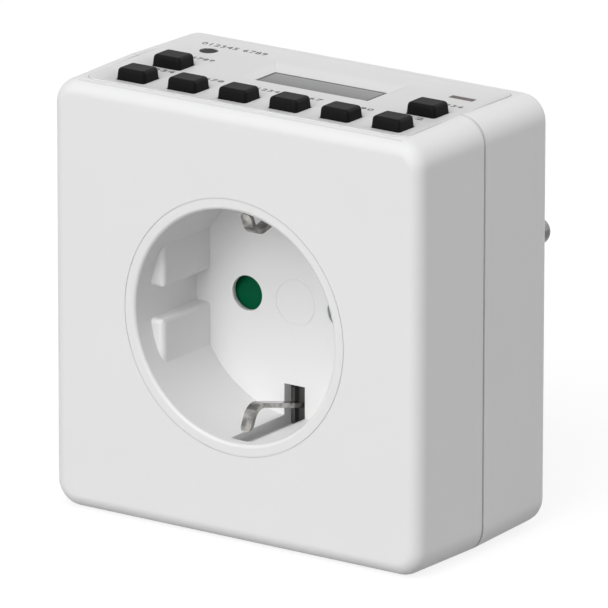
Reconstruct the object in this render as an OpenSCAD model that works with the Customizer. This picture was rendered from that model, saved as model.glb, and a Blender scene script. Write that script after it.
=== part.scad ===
// Plug-in digital timer switch for a round earthed socket with side contacts.
// The origin is the centre of the plug's end face, where it bottoms in a wall socket.
// +Y runs out of the plug towards the wall, the socket recess faces -Y and +Z is up.
// Depths are counted in +Y from the front face of the housing.

/* [Housing] */
// Width of the housing at the seam
body_w = 73.4; // [66:0.1:81]
// Height of the housing at the seam
body_h = 73.9; // [67:0.1:81]
// Depth of the housing from front face to rear face
body_d = 38.35; // [35:0.05:42]
// Depth of the front shell up to the seam
seam_depth = 18.5; // [17.5:0.05:19.5]
// Width of the groove left between the two shells
seam_gap = 0.6; // [0.2:0.05:0.8]
// Thickness of the side walls
wall = 2; // [1.7:0.05:2.3]
// Thickness of the front and rear faces
face_wall = 2.2; // [1.9:0.1:2.5]
// Radius of the four long corners
corner_r = 4.5; // [3.5:0.1:6]
// Rounding of the front and rear edges
edge_r = 2.5; // [1.5:0.1:3]
// Inward taper of the front shell over its depth
front_taper = 0.22; // [0:0.02:0.4]
// Inward taper of the rear shell over its depth
rear_taper = 0.3; // [0:0.02:0.4]
// Length of the lap joint inside the seam
lap_len = 1.6; // [1:0.1:2]
// Thickness of the lap joint
lap_t = 0.9; // [0.7:0.05:1]

/* [Socket] */
// Radius of the recess that takes a plug
recess_r = 19.74; // [18:0.02:21.6]
// Depth of the recess
recess_depth = 17.5; // [17:0.1:18]
// Width of the rim between the recess and the front face
rim_w = 1.92; // [1.8:0.02:2.4]
// Rounding of the rim into the recess
rim_round = 0.6; // [0.3:0.1:1.2]
// Wall of the socket cup
cup_wall = 1.8; // [1.4:0.1:1.8]
// Thickness of the recess floor
floor_t = 2; // [1.6:0.1:2.4]
// Thickness of the recess floor where it covers the shutter
hole_lip = 0.9; // [0.7:0.1:1.1]
// Radius of the raised ring on the recess floor
mark_r = 3.85; // [3:0.05:4.5]
// Spacing of the two pins and pin holes
pin_pitch = 19; // [18.8:0.1:19.2]
// Radius of the pin holes
pin_hole_r = 3; // [2.8:0.05:3.1]
// How far the guide blocks stand out of the recess wall
guide_out = 2.78; // [2.5:0.02:3.4]
// Gap between the upper and lower guide block
guide_gap = 5.5; // [5:0.1:6.5]
// Depth at which the guide blocks start
guide_start = 4.2; // [2.8:0.1:5]
// Rounding of the guide blocks
guide_round = 1; // [0.6:0.1:1.4]

/* [Shutter] */
// Reach of the shutter's wings past the pin holes
shutter_over = 0.8; // [0.6:0.05:1]
// Thickness of the shutter's wings
shutter_t = 2.2; // [1.6:0.1:2.6]
// Depth of the chamber behind the recess floor
chamber_depth = 5; // [4.6:0.1:5.4]
// Radius of the post that the shutter turns on
post_r = 2; // [1.6:0.1:2.2]

/* [Earth contacts] */
// Width of the sprung earth clips
clip_w = 2; // [1.6:0.1:2.6]
// Thickness of the clip strip
clip_t = 0.8; // [0.6:0.05:1]
// How far a clip's crest stands in from the recess wall at rest
clip_in = 5.24; // [4.6:0.02:5.4]
// How far a clip's root stands in from the recess wall
clip_root_in = 1.46; // [1.2:0.02:1.8]
// Radius of the bend at a clip's crest
clip_bend_r = 2.7; // [2:0.1:3]
// Depth of a clip's crest
clip_crest_depth = 7; // [6:0.05:8]
// Outward swing of a clip with a plug in the recess, in degrees
clip_swing = 8; // [4:0.5:9]
// Depth of the plug's earth strips below its round side
strip_in = 2.05; // [1.85:0.05:2.2]
// Thickness of the plug's earth strips
plug_strip_t = 0.6; // [0.4:0.05:0.8]

/* [Plug] */
// Height of the plug above the rear face
plug_h = 19.2; // [17.5:0.1:19.5]
// Radius of the plug
plug_r = 18.25; // [18:0.05:18.5]
// Wall of the plug
plug_wall = 1.9; // [1.7:0.1:2.2]
// Depth of the flats on the plug's sides
plug_flat = 2.1; // [1.8:0.05:2.2]
// Clearance of the plug's ribs between a socket's guide blocks
guide_clear = 0.45; // [0.3:0.05:0.8]
// Radius of the pins
pin_r = 2.4; // [2.3:0.02:2.42]
// Length of the pins beyond the plug
pin_len = 19; // [18.5:0.1:19.5]
// Rounding of the pin tips
pin_round = 1.4; // [0.8:0.1:2]

/* [Control panel] */
// Depth of the panel's surface below the top of the housing
panel_recess = 0.87; // [0.6:0.01:1.2]
// Width of the panel's raised border
border_w = 0.6; // [0.4:0.1:0.8]
// Width of the slope from the border down to the panel's surface
border_run = 2.4; // [0.6:0.1:2.5]
// Thickness of the panel
panel_t = 2; // [1.8:0.1:2.4]
// Distance from the housing's side to the panel's opening
panel_side = 4.75; // [4.5:0.05:5.5]
// Distance from the rear face to the panel's opening
panel_back = 3.05; // [2.8:0.05:3.5]
// Corner radius of the panel
panel_corner = 3; // [1.5:0.1:3.5]
// Distance from the side of the opening to the middle of the end keys
key_margin = 6.725; // [6.4:0.005:8]
// Spacing of the two rows of keys
key_row_pitch = 10.06; // [9.6:0.01:10.4]
// Depth of the middle of the front row of keys
key_row_depth = 8.77; // [8:0.01:9.2]
// Width of a key
key_w = 5.6; // [4.6:0.01:5.8]
// Size of a key from front to back
key_d = 4.6; // [4:0.01:5]
// Height of a key above the panel
key_h = 2; // [1.4:0.05:2.4]
// Rounding of a key's top edges
key_round = 0.45; // [0.3:0.05:0.6]
// Travel of a key
key_travel = 0.8; // [0.4:0.05:0.8]
// Radius of the reset hole
reset_r = 1.4; // [1.2:0.05:1.6]
// Travel of the reset button
reset_travel = 0.4; // [0.2:0.05:0.5]

/* [Display] */
// Distance from the side of the panel to the window
window_side = 20.75; // [20.5:0.05:22]
// Size of the display window from front to back
window_d = 7.8; // [6.5:0.1:8]
// Distance from the rear of the panel to the middle of the window
window_back = 11.15; // [11:0.05:11.5]
// Sink of the window below the panel's surface
window_sink = 1; // [0.6:0.05:1.2]
// Thickness of the display glass
glass_t = 1.8; // [1.4:0.1:2]

/* [Electronics] */
// Thickness of the control board
control_board_t = 1.2; // [1:0.1:1.6]
// Thickness of the power board
power_board_t = 1.6; // [1.2:0.1:1.8]
// Room between the panel and the control board
board_room = 3.88; // [3.8:0.02:4.2]
// Width of the relay
relay_w = 19; // [15:0.1:19.2]
// Size of the film capacitor from front to back
film_cap_d = 7.5; // [6:0.1:7.5]
// Radius of the smoothing capacitor
round_cap_r = 4; // [3:0.1:4]
// Radius of the varistor
varistor_r = 5.5; // [4:0.1:5.5]
// Radius of the backup battery
battery_r = 5.8; // [4:0.1:6]
// Radius of the rectifier diodes
diode_r = 1.3; // [1:0.05:1.35]
// Length of the rectifier diodes
diode_len = 4.6; // [4:0.1:5]
// Radius of the dropper resistors
resistor_r = 1.6; // [1.2:0.05:1.7]
// Length of the dropper resistors
resistor_len = 8; // [6:0.1:9]

/* [Hidden] */
FRONT_KEYS = 6;

$fn = 64;
HULL_FN = 32;
CUT = 0.5;
FIT = 0.1;
RUN_FIT = 0.05;
REST_GAP = 0.3;
SIDES = [-1, 1];

SHELL_WHITE = [0.90, 0.90, 0.90];
KEY_GREY = [0.22, 0.22, 0.23];
METAL = [0.75, 0.75, 0.76];
BRASS = [0.80, 0.66, 0.36];
SHUTTER_GREEN = [0.0, 0.34, 0.22];
BOARD_GREEN = [0.10, 0.36, 0.20];

// Stations along the depth
inner_front = face_wall;
inner_rear = body_d - face_wall;
floor_back = recess_depth + floor_t;
shutter_front = recess_depth + hole_lip + REST_GAP;
carrier_front = floor_back + chamber_depth;
carrier_t = 1.5;
carrier_back = carrier_front + carrier_t;
plug_face = body_d + plug_h;
panel_end = body_d - panel_back;
window_depth = panel_end - window_back;
board_front = face_wall + 1.8;
front_seam = seam_depth - seam_gap / 2;
rear_seam = seam_depth + seam_gap / 2;

// Heights
inner_top = body_h / 2 - wall;
frame_top = inner_top + 0.2;
border_sink = 0.05;
panel_top = body_h / 2 - panel_recess;
border_top = body_h / 2 - border_sink;
panel_under = panel_top - panel_t;
control_top = panel_under - board_room;
control_under = control_top - control_board_t;
power_foot = 1.35;
power_under = -inner_top + power_foot;
power_top = power_under + power_board_t;

// Screw places, [x, z]
housing_screw_x = body_w / 2 - 5.7;
housing_screw_places = [
    [-housing_screw_x, body_h / 2 - 12.45],
    [housing_screw_x, body_h / 2 - 12.45],
    [-housing_screw_x, -body_h / 2 + 5.45],
    [housing_screw_x, -body_h / 2 + 5.45]
];
screw_r = 1.2;
screw_head_r = 2.7;
screw_head_h = 2.2;
screw_seat_in = 5.15;
screw_seat = rear_seam + screw_seat_in;
screw_len = 15;
boss_r = 3.2;
rear_boss_r = 4.2;
rim_r = recess_r + rim_w;
ear_screw_x = rim_r + 5.5;
ear_depth = 8;
ear_t = 2;
small_screw_r = 0.85;
small_head_r = 1.6;
small_head_h = 1.1;

// Socket details
hole_x = pin_pitch / 2;
cup_r = recess_r + cup_wall;
collar_r = cup_r + 2;
collar_t = 1.6;
guide_x = recess_r - guide_out;
shutter_r = hole_x + pin_hole_r + shutter_over;
ring_wall = 1.4;
ring_r = shutter_r + REST_GAP + ring_wall;
carrier_screw_z = 11.5;
clip_root = recess_r - clip_root_in;
clip_root_depth = floor_back + 1.1;
clip_crest = recess_r - clip_in + clip_t / 2;
clip_lean = atan((clip_root - clip_crest) / (clip_root_depth - clip_crest_depth));
clip_turn = 66;
clip_tail = 2.4;
clip_tip = clip_crest + clip_bend_r * (1 - cos(clip_turn)) + clip_tail * sin(clip_turn);
clip_arm = clip_root_depth - clip_crest_depth + clip_bend_r;
channel_w = 4.1;
channel_reach = clip_tip + clip_arm * sin(clip_swing) + 2 * REST_GAP;
slot_top = recess_r - clip_in - REST_GAP;
pad_side = 1.5;

// Plug details
groove_room = 2.15;
plug_cavity_r = plug_r - plug_wall - groove_room;
strip_w = 5.2;
strip_z = plug_r - strip_in - plug_strip_t / 2;
flange_w = 1.5;
flange_t = face_wall / 2;
end_wall = 2.85;
disc_seat = 4;
disc_ledge = 1.7;
carrier_disc_t = 2.5;
carrier_disc_depth = plug_face - end_wall - disc_seat - carrier_disc_t;
pin_inner = carrier_disc_depth - 3.5;
pin_shank_r = pin_r + REST_GAP;
link_w = 3.2;
link_t = 0.8;
link_depth = inner_rear - link_t - 0.05;

// Contact details
contact_wall = 0.6;
contact_bore = pin_r + RUN_FIT;
contact_cap = 0.6;
contact_end = link_depth - 1.7;
contact_len = contact_end - contact_cap - carrier_back;
sleeve_r = 5;
sleeve_bore = 3.9;

// Places on the power board and the panel
power_half = housing_screw_x - rear_boss_r - REST_GAP;
relay_top = -ring_r - 1.7;
panel_w = body_w - 2 * panel_side;
key_pitch = (panel_w - 2 * key_margin) / (FRONT_KEYS - 1);
window_w = panel_w - 2 * window_side;

function y_at(depth) = depth - plug_face;

// ---------------------------------------------------------------- helpers

// A plan in [x, z], drawn from one depth to another
module span_y(from, to) {
    translate([0, y_at(to), 0])
        rotate([90, 0, 0])
            linear_extrude(to - from)
                children();
}

// A plan in [x, depth], drawn from one height to another
module span_z(low, high) {
    translate([0, y_at(0), low])
        linear_extrude(high - low)
            children();
}

// A side view in [depth, z], drawn across a width about the middle
module span_x(width, x = 0) {
    translate([x - width / 2, y_at(0), 0])
        rotate([90, 0, 90])
            linear_extrude(width)
                children();
}

module rod_y(from, to, r, x = 0, z = 0) {
    span_y(from, to)
        translate([x, z])
            circle(r = r);
}

module rod_z(low, high, r, x = 0, depth = 0) {
    span_z(low, high)
        translate([x, depth])
            circle(r = r);
}

module block(x, depth, z) {
    span_z(z[0], z[1])
        translate([x[0], depth[0]])
            square([x[1] - x[0], depth[1] - depth[0]]);
}

// A rectangle with round corners, about its middle
module rounded_outline(w, h, r) {
    square([w - 2 * r, h], center = true);
    square([w, h - 2 * r], center = true);
    for (x = SIDES, y = SIDES)
        translate([x * (w / 2 - r), y * (h / 2 - r)])
            circle(r = r);
}

// Unit normal of the run from a to b
function run_normal(a, b) = [a[1] - b[1], b[0] - a[0]] / norm(b - a);

// Mitred offset of point i on a bent line
function mitre(line, i) =
    i == 0 ? run_normal(line[0], line[1]) :
    i == len(line) - 1 ? run_normal(line[i - 1], line[i]) :
    let (sum = run_normal(line[i - 1], line[i]) + run_normal(line[i], line[i + 1]))
    2 * sum / (sum * sum);

// A strip of even thickness along a bent line
module bent_strip(line, t) {
    polygon(concat(
        [for (i = [0:len(line) - 1]) line[i] + mitre(line, i) * t / 2],
        [for (i = [len(line) - 1:-1:0]) line[i] - mitre(line, i) * t / 2]
    ));
}

// A screw along +Y: the head's seat at the given depth, the point towards the front
module screw_y(x, z, seat, len, r, head_r, head_h) {
    difference() {
        union() {
            rod_y(seat - len, seat, r, x, z);
            rod_y(seat, seat + head_h, head_r, x, z);
        }
        for (turn = [0, 90])
            span_y(seat + head_h / 2, seat + head_h + CUT)
                translate([x, z])
                    rotate(turn)
                        square([head_r * 1.2, head_r * 0.25], center = true);
    }
}

// ---------------------------------------------------------------- housing

// Solid of one shell: open at the seam, rounded all round at the closed end
module shell_form(seam_at, end_at, w, h, corner, edge, taper) {
    way = sign(end_at - seam_at);
    disc_t = 0.02;
    hull()
        for (x = SIDES, z = SIDES) {
            translate([x * (w / 2 - corner), y_at(seam_at + way * disc_t / 2), z * (h / 2 - corner)])
                rotate([90, 0, 0])
                    cylinder(r = corner, h = disc_t, center = true, $fn = HULL_FN);
            translate([
                x * (w / 2 - corner - taper),
                y_at(end_at - way * edge),
                z * (h / 2 - corner - taper)
            ])
                rotate([90, 0, 0])
                    rotate_extrude($fn = HULL_FN)
                        intersection() {
                            translate([corner - edge, 0])
                                circle(r = edge, $fn = HULL_FN - 8);
                            translate([0, -edge])
                                square([corner, 2 * edge]);
                        }
        }
}

// The empty space inside a shell, run past the seam
module shell_cavity(past_seam, end_at, taper) {
    inner_corner = corner_r - wall;
    shell_form(past_seam, end_at, body_w - 2 * wall, body_h - 2 * wall, inner_corner, inner_corner / 4, taper);
}

// Opening for the control panel, grown or shrunk all round
module panel_plan(grow) {
    translate([0, (face_wall + panel_end) / 2])
        rounded_outline(panel_w + 2 * grow, panel_end - face_wall + 2 * grow, panel_corner + grow);
}

// Frame round the panel's opening between two depths, with the ledge that the panel rests on
module panel_frame(from, to, top) {
    frame_wall = 1.3;
    ledge_w = 1.3;
    ledge_t = 1.2;
    intersection() {
        difference() {
            span_z(panel_under - ledge_t, top)
                panel_plan(frame_wall);
            span_z(panel_under, top + CUT)
                panel_plan(0);
            span_z(panel_under - ledge_t - CUT, panel_under + CUT)
                panel_plan(-ledge_w);
        }
        span_y(from, to)
            square([body_w, body_h], center = true);
    }
}

module board_rests(from, to) {
    rest_w = 1.6;
    rest_x = power_half * 0.68;
    for (x = SIDES)
        block([x * rest_x - rest_w / 2, x * rest_x + rest_w / 2], [from, to], [-inner_top - CUT, power_under]);
}

module front_housing() {
    color(SHELL_WHITE)
        difference() {
            union() {
                difference() {
                    shell_form(front_seam, 0, body_w, body_h, corner_r, edge_r, front_taper);
                    shell_cavity(seam_depth + 2, inner_front, front_taper);
                    span_y(front_seam - lap_len, seam_depth + 2)
                        rounded_outline(
                            body_w - 2 * (wall - lap_t),
                            body_h - 2 * (wall - lap_t),
                            corner_r - wall + lap_t
                        );
                    span_z(inner_top - 2, body_h)
                        panel_plan(0);
                }
                panel_frame(CUT, front_seam - lap_len, frame_top);
                panel_frame(front_seam - lap_len - CUT, front_seam, inner_top - REST_GAP);
                for (p = housing_screw_places)
                    rod_y(inner_front - CUT, front_seam, boss_r, p[0], p[1]);
                for (x = SIDES)
                    rod_y(inner_front - CUT, ear_depth, boss_r - REST_GAP, x * ear_screw_x, 0);
                board_rests(inner_front - CUT, front_seam - lap_len);
            }
            rod_y(-CUT, inner_front + CUT, rim_r + FIT);
            for (p = housing_screw_places)
                rod_y(screw_seat - screw_len - 2, front_seam + CUT, screw_r + RUN_FIT, p[0], p[1]);
            for (x = SIDES)
                rod_y(inner_front + 1, ear_depth + CUT, small_screw_r + RUN_FIT, x * ear_screw_x, 0);
        }
}

// Outline of a plug that slides between a socket's guide blocks
module plug_outline(grow) {
    r = plug_r + grow;
    rib_w = guide_gap - 2 * guide_clear + 2 * grow;
    intersection() {
        circle(r = r);
        union() {
            square([2 * (r - plug_flat), 2 * r], center = true);
            square([2 * r, rib_w], center = true);
        }
    }
}

// Grooves for the plug's earth strips, open at the plug's end
module plug_grooves() {
    groove_w = strip_w + 0.8;
    groove_floor = strip_z - plug_strip_t / 2 - FIT;
    notch_len = 2.6;
    for (side = SIDES) {
        span_y(body_d, plug_face + CUT)
            translate([-groove_w / 2, side > 0 ? groove_floor : -plug_r])
                square([groove_w, plug_r - groove_floor]);
        span_y(inner_rear - CUT, body_d + CUT)
            translate([0, side * strip_z])
                square([strip_w + 2 * FIT, plug_strip_t + 2 * FIT], center = true);
        span_y(plug_face - notch_len, plug_face + CUT)
            translate([0, side * (groove_floor - notch_len / 2 + CUT)])
                square([groove_w, notch_len], center = true);
    }
}

module rear_housing() {
    lap_outer = wall - lap_t + FIT;
    color(SHELL_WHITE)
        difference() {
            union() {
                difference() {
                    union() {
                        shell_form(rear_seam, body_d, body_w, body_h, corner_r, edge_r, rear_taper);
                        span_y(front_seam - lap_len + FIT, rear_seam + 1)
                            rounded_outline(
                                body_w - 2 * lap_outer,
                                body_h - 2 * lap_outer,
                                corner_r - lap_outer
                            );
                    }
                    shell_cavity(front_seam - lap_len - 1, inner_rear, rear_taper);
                    span_z(inner_top - 2, body_h)
                        panel_plan(0);
                }
                panel_frame(rear_seam, body_d - CUT, frame_top);
                for (p = housing_screw_places)
                    rod_y(rear_seam, body_d - CUT, rear_boss_r, p[0], p[1]);
                board_rests(rear_seam + 1, inner_rear + CUT);
            }
            rod_y(inner_rear - CUT, inner_rear + flange_t, plug_r + flange_w + RUN_FIT);
            span_y(inner_rear, body_d + CUT)
                plug_outline(RUN_FIT);
            for (p = housing_screw_places) {
                rod_y(rear_seam - CUT, screw_seat + CUT, screw_r + REST_GAP, p[0], p[1]);
                rod_y(screw_seat, body_d + CUT, screw_head_r + REST_GAP, p[0], p[1]);
            }
        }
}

// Plug with a flange that is let into the inside of the rear shell
module plug_body() {
    color(SHELL_WHITE)
        difference() {
            union() {
                rod_y(inner_rear, inner_rear + flange_t, plug_r + flange_w);
                span_y(inner_rear, plug_face)
                    plug_outline(0);
            }
            rod_y(inner_rear - CUT, plug_face - end_wall - disc_seat, plug_cavity_r);
            rod_y(inner_rear - CUT, plug_face - end_wall, plug_cavity_r - disc_ledge);
            plug_grooves();
            for (x = SIDES)
                rod_y(plug_face - end_wall - CUT, plug_face + CUT, pin_shank_r + RUN_FIT, x * hole_x, 0);
        }
}

module housing_screws() {
    color(METAL)
        for (p = housing_screw_places)
            screw_y(p[0], p[1], screw_seat, screw_len, screw_r, screw_head_r, screw_head_h);
}

// ---------------------------------------------------------------- socket

// A rectangle from the origin, round at the corner that lies there
module soft_corner(r, w, h) {
    translate([r, r])
        circle(r = r);
    translate([r, 0])
        square([w - r, h]);
    translate([0, r])
        square([w, h - r]);
}

// One guide block in the upper right of the recess, before it is cut to the round wall
module guide_block() {
    reach = recess_r - guide_x + 1;
    run = recess_depth - guide_start + CUT;
    low = guide_gap / 2;
    high = recess_r * 0.6;
    side_round = 0.8 * guide_round;
    intersection() {
        span_z(low, high)
            translate([guide_x, guide_start])
                soft_corner(guide_round, reach, run);
        span_y(0, recess_depth + CUT)
            translate([guide_x, low])
                soft_corner(side_round, reach, high);
        span_x(reach, guide_x + reach / 2)
            translate([guide_start, low])
                soft_corner(side_round, run, high);
    }
}

// Rim, collar and cup as one turned form, with a fine raised ring on its floor
module cup_form() {
    mark_w = 0.35;
    mark_h = 0.12;
    translate([0, y_at(0), 0])
        rotate([-90, 0, 0])
            rotate_extrude() {
                difference() {
                    union() {
                        square([rim_r, face_wall + collar_t / 2]);
                        translate([0, face_wall])
                            square([collar_r, collar_t]);
                        square([cup_r, floor_back]);
                    }
                    translate([0, -CUT])
                        square([recess_r, recess_depth + CUT]);
                    translate([0, recess_depth + hole_lip])
                        square([ring_r - ring_wall, floor_t]);
                    difference() {
                        translate([recess_r - CUT, -CUT])
                            square([rim_round + CUT, rim_round + CUT]);
                        translate([recess_r + rim_round, rim_round])
                            circle(r = rim_round);
                    }
                }
                translate([mark_r - mark_w / 2, recess_depth - mark_h])
                    square([mark_w, mark_h + CUT]);
            }
}

module socket_insert() {
    pad_w = channel_w + 2 * pad_side;
    pad_top = channel_reach + pad_side;
    ear_half = 3.6;
    screw_boss_r = 1.8;
    color(SHELL_WHITE)
        difference() {
            union() {
                cup_form();
                intersection() {
                    for (x = [0, 1], z = [0, 1])
                        mirror([x, 0, 0])
                            mirror([0, 0, z])
                                guide_block();
                    rod_y(0, recess_depth + CUT, recess_r + CUT);
                }
                for (side = SIDES)
                    difference() {
                        span_y(face_wall, floor_back)
                            translate([0, side * pad_top / 2])
                                square([pad_w, pad_top], center = true);
                        rod_y(0, floor_back + CUT, recess_r + CUT / 2);
                    }
                difference() {
                    span_y(ear_depth, ear_depth + ear_t)
                        union() {
                            square([2 * ear_screw_x, 2 * ear_half], center = true);
                            for (x = SIDES)
                                translate([x * ear_screw_x, 0])
                                    circle(r = ear_half);
                        }
                    rod_y(0, floor_back, recess_r + CUT / 2);
                }
                difference() {
                    rod_y(floor_back - CUT, carrier_front, ring_r);
                    rod_y(floor_back - 2 * CUT, carrier_front + CUT, ring_r - ring_wall);
                }
                rod_y(recess_depth + CUT, carrier_back - REST_GAP, post_r);
                for (side = SIDES)
                    rod_y(recess_depth + CUT, carrier_front, screw_boss_r, 0, side * carrier_screw_z);
            }
            for (x = SIDES) {
                rod_y(recess_depth - CUT, floor_back + CUT, pin_hole_r, x * hole_x, 0);
                rod_y(ear_depth - CUT, ear_depth + ear_t + CUT, small_screw_r + REST_GAP, x * ear_screw_x, 0);
            }
            for (side = SIDES) {
                span_y(face_wall, floor_back + CUT)
                    translate([0, side * (slot_top + channel_reach) / 2])
                        square([channel_w, channel_reach - slot_top], center = true);
                rod_y(
                    floor_back + 0.5,
                    carrier_front + CUT,
                    small_screw_r + RUN_FIT,
                    0,
                    side * carrier_screw_z
                );
            }
        }
}

module insert_screws() {
    len = 6;
    head_r = small_head_r + 0.6;
    color(METAL)
        for (x = SIDES)
            screw_y(x * ear_screw_x, 0, ear_depth + ear_t, len, small_screw_r, head_r, small_head_h);
}

// Two ramped wings on a hub, closing both pin holes at rest
module shutter() {
    wing_reach = 1.2 * shutter_r;
    wing_side = wing_reach * tan(asin(pin_hole_r / hole_x) + 1.2);
    front = shutter_front;
    hub_r = post_r + 2;
    spring_hub_r = post_r + 0.9;
    ramp_angle = 18;
    ramp_start = 0.6;
    color(SHUTTER_GREEN)
        difference() {
            union() {
                intersection() {
                    rod_y(front, front + shutter_t, shutter_r);
                    span_y(front, front + shutter_t)
                        for (x = SIDES)
                            polygon([[0, 0], [x * wing_reach, -wing_side], [x * wing_reach, wing_side]]);
                }
                rod_y(front, front + shutter_t, hub_r);
                rod_y(front + shutter_t - CUT, carrier_front - REST_GAP, spring_hub_r);
            }
            rod_y(front - CUT, carrier_front, post_r + RUN_FIT);
            for (turn = [0, 180])
                rotate([0, turn, 0])
                    translate([hub_r + REST_GAP, y_at(front), ramp_start])
                        rotate([ramp_angle, 0, 0])
                            translate([0, -shutter_t, -2 * wing_side])
                                cube([shutter_r, shutter_t, 3 * wing_side]);
        }
}

// Points of a circle of the wire, swept along a helix
module shutter_spring() {
    coil_r = post_r + 1.6;
    wire_r = 0.25;
    turns = 3;
    steps = 24;
    sides = 8;
    start = shutter_front + shutter_t + wire_r + FIT;
    rise = (carrier_front - REST_GAP - wire_r - start) / turns;
    rings = turns * steps + 1;
    function wire_point(i, k) =
        let (
            turn = 360 * i / steps,
            around = 360 * k / sides,
            r = coil_r + wire_r * cos(around)
        )
        [r * cos(turn), y_at(start + rise * i / steps) + wire_r * sin(around), r * sin(turn)];
    color(METAL)
        polyhedron(
            points = [for (i = [0:rings - 1], k = [0:sides - 1]) wire_point(i, k)],
            faces = concat(
                [[for (k = [0:sides - 1]) k]],
                [
                    for (i = [0:rings - 2], k = [0:sides - 1])
                        [
                            i * sides + k,
                            (i + 1) * sides + k,
                            (i + 1) * sides + (k + 1) % sides,
                            i * sides + (k + 1) % sides
                        ]
                ],
                [[for (k = [sides - 1:-1:0]) (rings - 1) * sides + k]]
            )
        );
}

// Cover of the shutter chamber, with the sleeves that hold the pin contacts
module contact_carrier() {
    color("whitesmoke")
        difference() {
            union() {
                rod_y(carrier_front, carrier_back, ring_r);
                for (x = SIDES)
                    rod_y(carrier_back - CUT, carrier_back + contact_len, sleeve_r, x * hole_x, 0);
            }
            rod_y(carrier_front - CUT, carrier_back + CUT, post_r + RUN_FIT);
            for (x = SIDES) {
                rod_y(carrier_front - CUT, carrier_back + CUT, pin_hole_r, x * hole_x, 0);
                rod_y(carrier_back, carrier_back + contact_len + CUT, sleeve_bore, x * hole_x, 0);
            }
            for (side = SIDES)
                rod_y(
                    carrier_front - CUT,
                    carrier_back + CUT,
                    small_screw_r + REST_GAP,
                    0,
                    side * carrier_screw_z
                );
        }
}

module carrier_screws() {
    color(METAL)
        for (side = SIDES)
            screw_y(
                0,
                side * carrier_screw_z,
                carrier_back,
                chamber_depth + carrier_t - 1,
                small_screw_r,
                small_head_r,
                small_head_h
            );
}

// ---------------------------------------------------------------- contacts

// Lower earth clip: a strip that rises to a round bend and turns down to a rounded tip
module lower_earth_clip() {
    steps = 9;
    bend = [
        for (i = [0:steps])
            let (turn = -clip_lean + i * (clip_turn + clip_lean) / steps)
            [clip_crest_depth - clip_bend_r * sin(turn), -clip_crest - clip_bend_r * (1 - cos(turn))]
    ];
    tail = clip_tail * [-cos(clip_turn), -sin(clip_turn)];
    line = concat([[clip_root_depth, -clip_root]], bend, [bend[steps] + tail]);
    color(METAL)
        intersection() {
            span_x(clip_w)
                bent_strip(line, clip_t);
            span_y(0, clip_root_depth + 1)
                translate([0, -clip_tip + clip_w / 2]) {
                    translate([-clip_w / 2, 0])
                        square([clip_w, clip_tip]);
                    circle(r = clip_w / 2);
                }
        }
}

module upper_earth_clip() {
    mirror([0, 0, 1])
        lower_earth_clip();
}

// Strap that joins both clips and both plug strips
module earth_bridge() {
    strap_w = 4;
    leg_start = clip_root_depth + REST_GAP;
    strap_back = inner_rear - 0.15;
    color(METAL) {
        for (side = SIDES)
            span_x(clip_w)
                translate([leg_start, side * clip_root - clip_t / 2])
                    square([strap_back - leg_start, clip_t]);
        span_x(strap_w)
            translate([strap_back - clip_t, -clip_root - clip_t / 2])
                square([clip_t, 2 * clip_root + clip_t]);
    }
}

// Earth strip in the plug's groove, bent over the end of the plug
module upper_plug_earth() {
    start = inner_rear - 0.15;
    bend = plug_face - 2.2;
    line = [
        [start, strip_z],
        [bend, strip_z],
        [bend + 1.3, strip_z - 1.1]
    ];
    color(METAL)
        span_x(strip_w)
            bent_strip(line, plug_strip_t);
}

module lower_plug_earth() {
    mirror([0, 0, 1])
        upper_plug_earth();
}

// Split tube that grips a pin, closed by a cap at the back
module pin_contact(side) {
    flange_t = 0.6;
    slit = 1;
    color(BRASS)
        difference() {
            union() {
                rod_y(carrier_back, contact_end, contact_bore + contact_wall, side * hole_x, 0);
                rod_y(carrier_back, carrier_back + flange_t, sleeve_bore - FIT, side * hole_x, 0);
            }
            rod_y(carrier_back - CUT, contact_end - contact_cap, contact_bore, side * hole_x, 0);
            span_y(carrier_back + flange_t + 0.4, contact_end - contact_cap - 0.4)
                translate([side * hole_x, 0])
                    square([slit, 4 * contact_bore], center = true);
        }
}

module line_contact() {
    pin_contact(1);
}

module neutral_contact() {
    pin_contact(-1);
}

// Bus bar from a pin's inner end, along the rear face and down to the power board
module mains_link(side) {
    span_y(link_depth, link_depth + link_t)
        translate([side * hole_x - link_w / 2, power_top])
            square([link_w, link_w / 2 - power_top]);
    span_y(link_depth, pin_inner)
        translate([side * hole_x, 0])
            square([link_t, link_w], center = true);
}

module line_link() {
    color(BRASS)
        mains_link(1);
}

module neutral_link() {
    color(BRASS) {
        mains_link(-1);
        span_y(contact_end, link_depth)
            translate([-hole_x, 0])
                square([link_t, link_w], center = true);
    }
}

// Bar from the line contact down to the relay's output
module switched_link() {
    color(BRASS)
        span_y(contact_end, contact_end + link_t)
            translate([hole_x - link_w / 2, relay_top])
                square([link_w, link_w / 2 - relay_top]);
}

// Pin with a rounded tip, a thicker shank inside the plug and a collar that bears on the pin carrier
module mains_pin(side) {
    collar_h = 1.5;
    collar_out = 3.6;
    straight = pin_len - pin_round;
    color(METAL)
        translate([side * hole_x, 0, 0])
            rotate([-90, 0, 0])
                rotate_extrude() {
                    translate([0, y_at(pin_inner)])
                        square([pin_shank_r, -y_at(pin_inner)]);
                    translate([0, -CUT])
                        square([pin_r, straight + CUT]);
                    square([pin_r - pin_round, pin_len]);
                    intersection() {
                        translate([pin_r - pin_round, straight])
                            circle(r = pin_round);
                        square([pin_r, pin_len]);
                    }
                    translate([0, y_at(carrier_disc_depth) - collar_h])
                        square([collar_out, collar_h]);
                }
}

module line_pin() {
    mains_pin(1);
}

module neutral_pin() {
    mains_pin(-1);
}

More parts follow.
